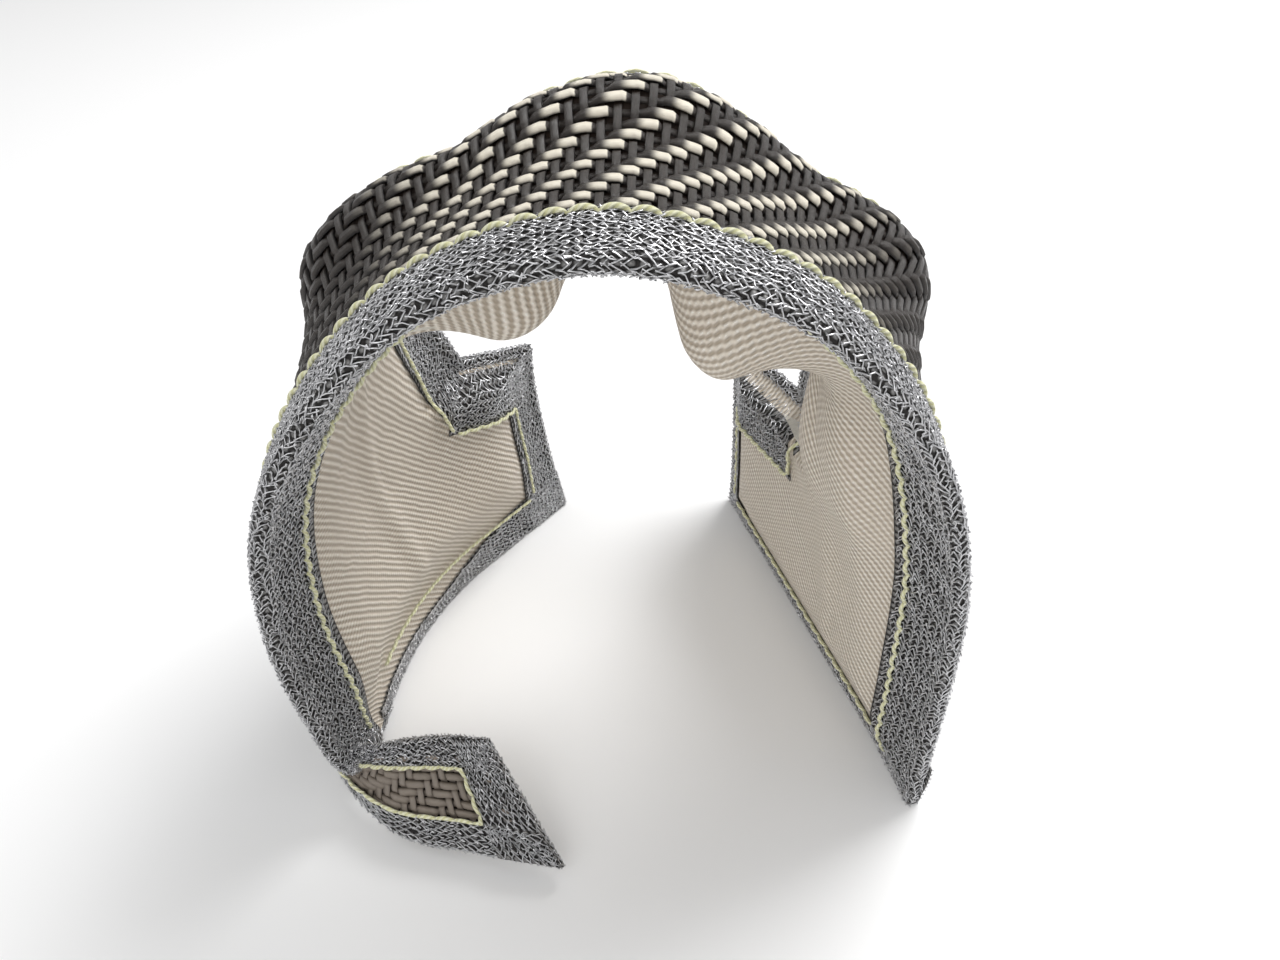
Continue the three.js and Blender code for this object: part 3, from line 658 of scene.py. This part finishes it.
class Tape:
    """A folded tape along a cut edge. path is a list of (s, w) corners with the cloth on its
    left. Its surface takes q, the distance across from the outer leaf's border round the
    fold, and e, the distance along. The inner leaf may be cut narrower towards its end."""

    def __init__(self, name, path, outer, inner, inner_end=None):
        self.name, self.outer, self.inner = name, outer, inner
        self.inner_end = inner if inner_end is None else inner_end
        path = np.array(path, float)
        run = np.concatenate([[0], np.cumsum(np.linalg.norm(np.diff(path, axis=0), axis=1))])
        self.length = run[-1]
        self.at = np.linspace(0, self.length, 400)
        self.path = np.stack([np.interp(self.at, run, path[:, k]) for k in (0, 1)], -1)
        slope = np.gradient(self.path, self.at, axis=0)
        padded = np.pad(slope, ((12, 12), (0, 0)), mode="edge")
        even = np.ones(25) / 25
        eased = [np.convolve(padded[:, k], even, "valid") for k in (0, 1)]
        self.slope = unit(np.stack(eased, -1))
        self.width = outer + inner - 2 * FOLD + BEND

    def surface(self, q, e):
        """Outer leaf over the cloth, a half round at the fold, inner leaf under the lining.
        Both leaves come together towards the fold, where the layers are squeezed."""
        sample = lambda table, k: np.interp(e, self.at, table[:, k])
        over = q - (self.outer - FOLD)
        fold = np.clip(over / BEND, 0, 1)
        leaf_share = (over - BEND) / (self.inner - FOLD)
        narrowed = smooth(e, 0.15 * self.length, 0.6 * self.length)
        inner = self.inner + (self.inner_end - self.inner) * narrowed
        inset = np.where(over < 0, self.outer - q, FOLD)
        inset = np.where(fold >= 1, FOLD + leaf_share * (inner - FOLD), inset)
        bent = (fold > 0) & (fold < 1)
        inset = np.where(bent, FOLD * (1 - np.sin(np.pi * fold) * 0.97), inset)
        s = sample(self.path, 0) - sample(self.slope, 1) * inset
        w = sample(self.path, 1) + sample(self.slope, 0) * inset
        edge = FOLD * 0.95
        top = edge + (TAPE_TOP - edge) * smooth(inset, 1.2, 5.5)
        flat = smooth(inset, 1.0, 2.5)
        low = -edge * (1 - flat) + (lining_face(s, w) - TAPE_LIFT) * flat
        round_fold = edge * np.cos(np.pi * fold)
        return lifted(s, w, np.where(fold <= 0, top, np.where(fold >= 1, low, round_fold)))


LEAF, INNER_LEAF, STRAP_LEAF = 9.0, 10.4, 5.0
TAPES = [
    Tape("near_edge", [[-2, 0], [LENGTH, 0]], LEAF, INNER_LEAF),
    Tape("strap_upper", [[-STRAP_LENGTH, 0], [0, 0]], STRAP_LEAF, STRAP_LEAF),
    Tape("strap_lower", [[0, STRAP_WIDTH], [-STRAP_LENGTH, STRAP_WIDTH]], STRAP_LEAF, STRAP_LEAF),
    Tape("strap_end", [[-STRAP_LENGTH, STRAP_WIDTH], [-STRAP_LENGTH, 0]], 8.0, 8.0),
    Tape("far_edge", [[LENGTH - TAB_TOP, RIGHT_NOTCH], [LENGTH - SHOULDER, CROWN],
                      [SHOULDER, CROWN], [TAB_TOP, LEFT_NOTCH]], LEAF, INNER_LEAF),
    Tape("left_tab_top", [[TAB_TOP + 2, LEFT_NOTCH - 5.7], [TAB_HEIGHT, LEFT_TAB]],
         LEAF, INNER_LEAF),
    Tape("right_tab_top", [[LENGTH - TAB_HEIGHT, RIGHT_TAB],
                           [LENGTH - TAB_TOP - 1.3, RIGHT_NOTCH - 5.9]], LEAF, INNER_LEAF),
    Tape("left_tab", [[TAB_HEIGHT, LEFT_TAB], [0, LEFT_TAB]], LEAF, INNER_LEAF),
    Tape("right_tab", [[LENGTH, RIGHT_TAB], [LENGTH - TAB_HEIGHT, RIGHT_TAB]], LEAF, INNER_LEAF),
    Tape("left_foot", [[0, LEFT_TAB], [0, STRAP_WIDTH - 5]], LEAF, 9.0, 3.0),
    Tape("right_foot", [[LENGTH, 0], [LENGTH, RIGHT_TAB]], LEAF, 4.0),
]
for tape in TAPES:
    print(tape.name, round(tape.length), "x", round(tape.width), "mm")

# %% Knitting the tape
LOOP, ROW, WIRE = 1.1, 1.0, 0.1
LONGEST_KNIT = 150  # a longer tape is knitted in parts, so that no mesh grows too large


def knit(name, tape, number, start, end):
    """Row k of loops: q = LOOP t / 2 pi - a sin 2t and e = ROW k + h cos t, for t along the
    row. The sine makes each loop wider than its neck, and the cosine carries it over the
    next row; the lift follows cos 2t, so legs lie over heads. Slow waves and a little chance
    pull the rows out of line, as pressing and handling do."""
    rows = max(2, int((end - start) / ROW))
    loops = int(tape.width / LOOP)
    t = np.linspace(0, 2 * np.pi * loops, loops * 7 + 1)[None]
    k = np.arange(rows)[:, None]
    chance = np.random.default_rng(number)
    q = LOOP * t / (2 * np.pi) - 0.2 * LOOP * np.sin(2 * t) + chance.normal(0, 0.12, (rows, 1))
    e = start + (k + 0.5) * (end - start) / rows + 0.8 * ROW * np.cos(t)
    q, e = (q + 0.2 * np.sin(0.9 * e + 0.7 * q) + chance.normal(0, 0.1, (rows, t.shape[1])),
            e + 0.2 * np.sin(0.8 * q - 0.5 * e) + chance.normal(0, 0.1, (rows, t.shape[1])))
    lift = 0.22 + 0.14 * np.cos(2 * t) + chance.normal(0, 0.05, (rows, t.shape[1]))
    q = np.clip(q, 0.1, tape.width - 0.1)
    e = np.clip(e, 0.05, tape.length - 0.05)
    return strands(name, tape.surface, q, e, lift, WIRE, 3, finish=wire, slot="mesh_tape")


# %% [markdown]
# Each tape declares its mesh's own area, or length times width where that is smaller. Each
# tape's band has its mesh's own area measured and printed against length times width. On the
# strap the length is typed in s, which isn't a true length there.

# %% The bands and their loops
for number, tape in enumerate(TAPES):
    q = np.linspace(0, tape.width, 34)[:, None]
    e = np.linspace(0, tape.length, max(6, int(tape.length / 1.6)))[None]
    q, e = np.broadcast_arrays(q, e)
    band = grid_mesh(tape.name + "_band", tape.surface(q, e), uv=np.stack([q, e], -1) * 0.01,
                     finish=behind, slot="mesh_tape")
    area, cut_area = mesh_area(band), tape.length * tape.width * MM**2
    print(tape.name, "band is", round(area / cut_area, 2), "of its cut size")
    thickened(band, 0.12)
    cuts = np.linspace(0, tape.length, 1 + int(np.ceil(tape.length / LONGEST_KNIT)))
    rows = [knit(f"{tape.name}_knit_{i + 1}", tape, 10 * number + i, cuts[i], cuts[i + 1])
            for i in range(len(cuts) - 1)]
    nodes = [] if tape.name == "strap_upper" else [tape.name + "_tape"]
    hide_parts(*nodes)
    min(area, cut_area)

# %% [markdown]
# The seams are lockstitch in pale yellow aramid thread. Each stitch rises out of its hole,
# sags a little to one side, and dives again, which gives the row of small smiles.

# %% Finish of the thread
thread_look = Look("yellow_thread", Sheen_Weight=0.3, Specular_IOR_Level=0.35)
run_mm, around = thread_look.uv_part("X", 10.0), thread_look.uv_part("Y", 2.0)
ply = 0.5 + 0.5 * ((run_mm * 1.1 + around) * TAU).sine()
hair = thread_look.noise(thread_look.scaled(thread_look.uv(), 60, 12, 1), 4.0, 4.0, 0.7)
thread_tone = thread_look.mix(
    (ply * 0.7 + hair * 0.5).step(0.2, 0.8), colour(222, 220, 168), colour(250, 249, 214))
yellow = thread_look.feed(Base_Color=thread_tone, Roughness=0.6 + 0.2 * hair,
                          Normal=thread_look.bump(ply + 0.4 * hair, 0.0002))

# %% The seams
SEAM_INSET, STITCH = 8.2, 2.8
STRAP_SEAM = 5.0


def seam(name, path, outside):
    """A thread along a path of (s, w) corners. Lift is the root of a half sine over each
    stitch, taken below the tape at the holes, and the sideways sag is a half sine too."""
    path = np.array(path, float)
    run = np.concatenate([[0], np.cumsum(np.linalg.norm(np.diff(path, axis=0), axis=1))])
    count = max(2, round(run[-1] / STITCH))
    e = np.linspace(0, run[-1], count * 12 + 1)
    s, w = (np.interp(e, run, path[:, k]) for k in (0, 1))
    slope = unit(np.stack([np.gradient(s), np.gradient(w)], -1))
    arc = np.abs(np.sin(np.pi * e / run[-1] * count))
    sag = 0.22 * (arc - 0.4)
    s, w = s - slope[:, 1] * sag, w + slope[:, 0] * sag
    rise = -0.4 + 0.5 * arc**0.5
    if outside:
        lift = TAPE_TOP + 0.42 + rise
        radius = 0.22 + 0.1 * arc
    else:
        lift = lining_face(s, w) - 0.8 - rise * 0.7
        radius = 0.25 + 0.06 * arc
    surface = sheet if outside else inner_sheet
    return strands(name, surface, s[None], w[None], lift[None], radius[None], 8,
                   finish=yellow, slot="yarn")


SEAMS = {
    "near_edge": [[5, SEAM_INSET], [LENGTH - 3, SEAM_INSET]],
    "right_foot": [[LENGTH - SEAM_INSET, SEAM_INSET + 2],
                   [LENGTH - SEAM_INSET, RIGHT_TAB - SEAM_INSET - 1]],
    "right_tab": [[LENGTH - SEAM_INSET - 1, RIGHT_TAB - SEAM_INSET],
                  [LENGTH - TAB_HEIGHT + SEAM_INSET, RIGHT_TAB - SEAM_INSET],
                  [LENGTH - TAB_TOP + SEAM_INSET, RIGHT_NOTCH - SEAM_INSET + 1]],
    "far_edge": [[LENGTH - TAB_TOP + SEAM_INSET - 1, RIGHT_NOTCH - SEAM_INSET],
                 [LENGTH - SHOULDER, CROWN - SEAM_INSET], [SHOULDER, CROWN - SEAM_INSET],
                 [TAB_TOP - SEAM_INSET + 1, LEFT_NOTCH - SEAM_INSET]],
    "left_tab": [[TAB_TOP - SEAM_INSET, LEFT_NOTCH - SEAM_INSET + 1],
                 [TAB_HEIGHT - SEAM_INSET, LEFT_TAB - SEAM_INSET],
                 [SEAM_INSET + 1, LEFT_TAB - SEAM_INSET]],
    "left_foot": [[SEAM_INSET, LEFT_TAB - SEAM_INSET - 1], [SEAM_INSET, STRAP_WIDTH + 2]],
    "strap": [[-12, STRAP_WIDTH - STRAP_SEAM],
              [-STRAP_LENGTH + SEAM_INSET, STRAP_WIDTH - STRAP_SEAM],
              [-STRAP_LENGTH + SEAM_INSET, STRAP_SEAM], [-12, STRAP_SEAM]],
}
for name, path in SEAMS.items():
    for side in ("needle", "bobbin"):
        thread = seam(f"{name}_{side}", path, outside=side == "needle")
        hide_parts(f"{name}_{side}_thread")

# %% [markdown]
# One snap rivet holds the layers together on the right flank. Its cap is a polished dome,
# turned here from a quarter of an ellipse over a short rim. Its post and washer can't be
# seen, so the dome stands for all three.

# %% The rivet
steel_look = Look("polished_steel", Metallic=1.0)
scratches = steel_look.noise(steel_look.scaled(steel_look.place(), 1, 9, 1), 700.0, 4.0)
polished = steel_look.feed(
    Base_Color=steel_look.mix(scratches, colour(176, 178, 182), colour(226, 227, 230)),
    Roughness=0.1 + 0.16 * scratches, Normal=steel_look.bump(scratches, 0.00002))

RIM, CAP_RADIUS, CAP_RISE = 0.3, 4.4, 1.7
rivet_at = frame_of(sheet, np.array(LENGTH - 58.0), np.array(17.0))
turn = np.linspace(0, 2 * np.pi, 49)[:-1]
rise = np.concatenate([[0.0, RIM / 2, RIM], np.linspace(RIM + 0.05, np.pi / 2, 14)])
above = np.maximum(rise - RIM, 0)
quarter = above * np.pi / 2 / (np.pi / 2 - RIM)
radius = np.where(rise <= RIM, CAP_RADIUS - RIM + rise, CAP_RADIUS * np.cos(quarter))
height = np.where(rise <= RIM, rise, RIM + CAP_RISE * np.sin(above))
radius[-1] = 0.01
point, along, across, normal = (v[None, None] for v in rivet_at)
round_cap = across * np.cos(turn)[None, :, None] + along * np.sin(turn)[None, :, None]
dome = point + round_cap * radius[:, None, None]
dome = dome + normal * (CLOTH_TOP + 0.4 + height)[:, None, None]
cap = grid_mesh("rivet_cap_dome", dome, ring=True, finish=polished, slot="steel")
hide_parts("rivet_cap", "rivet_post", "rivet_washer")

# %% [markdown]
# The felt is hidden, but it is what makes the blanket a pad, so it gets its own finish.

# %% The felt
felt_look = Look("needled_felt", Sheen_Weight=0.3)
tuft = felt_look.noise(felt_look.place(), 1500.0, 5.0, 0.7)
felt = felt_look.feed(Base_Color=felt_look.mix(tuft, colour(190, 184, 170), colour(238, 234, 224)),
                      Roughness=0.85 + 0.1 * tuft, Normal=felt_look.bump(tuft, 0.0003))
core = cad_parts["insulation_core"]
core.data.materials.clear()
core.data.materials.append(felt)

# %% [markdown]
# The studio is a pale floor and a large soft lamp above, behind and to the right, which
# throws a soft shadow towards the viewer's left. The lamps stay at a plain level, so the
# colours above come out about as they are written.

# %% Floor and light
floor_look = Look("paper", Base_Color=colour(246, 246, 246), Roughness=0.9, Specular_IOR_Level=0.1)
floor_mesh = bpy.data.meshes.new("floor")
floor_mesh.from_pydata([(-3, -3, 0), (3, -3, 0), (3, 3, 0), (-3, 3, 0)], [], [(0, 1, 2, 3)])
floor_mesh.materials.append(floor_look.material)
floor = bpy.data.objects.new("floor", floor_mesh)
bpy.context.scene.collection.objects.link(floor)

world = bpy.data.worlds.new("studio")
world.use_nodes = True
world.node_tree.nodes["Background"].inputs["Color"].default_value = (1, 1, 1, 1)
world.node_tree.nodes["Background"].inputs["Strength"].default_value = 0.62
bpy.context.scene.world = world


def lamp(name, place, aim, size, power):
    """A square area lamp at place, turned to look at aim."""
    data = bpy.data.lights.new(name, "AREA")
    data.size, data.energy = size, power
    lit = bpy.data.objects.new(name, data)
    look = np.array(aim, float) - np.array(place, float)
    lit.rotation_euler = Vector(look).to_track_quat("-Z", "Y").to_euler()
    lit.location = place
    bpy.context.scene.collection.objects.link(lit)
    return lit


lamp("key", (0.28, 0.25, 0.55), (0, 0, 0.05), 0.35, 3.2)
lamp("front", (-0.25, -0.5, 0.45), (0, 0, 0.05), 0.5, 1.2)
bpy.context.scene.view_settings.view_transform = "Standard"

# %% Update the scene
bpy.context.view_layer.update()
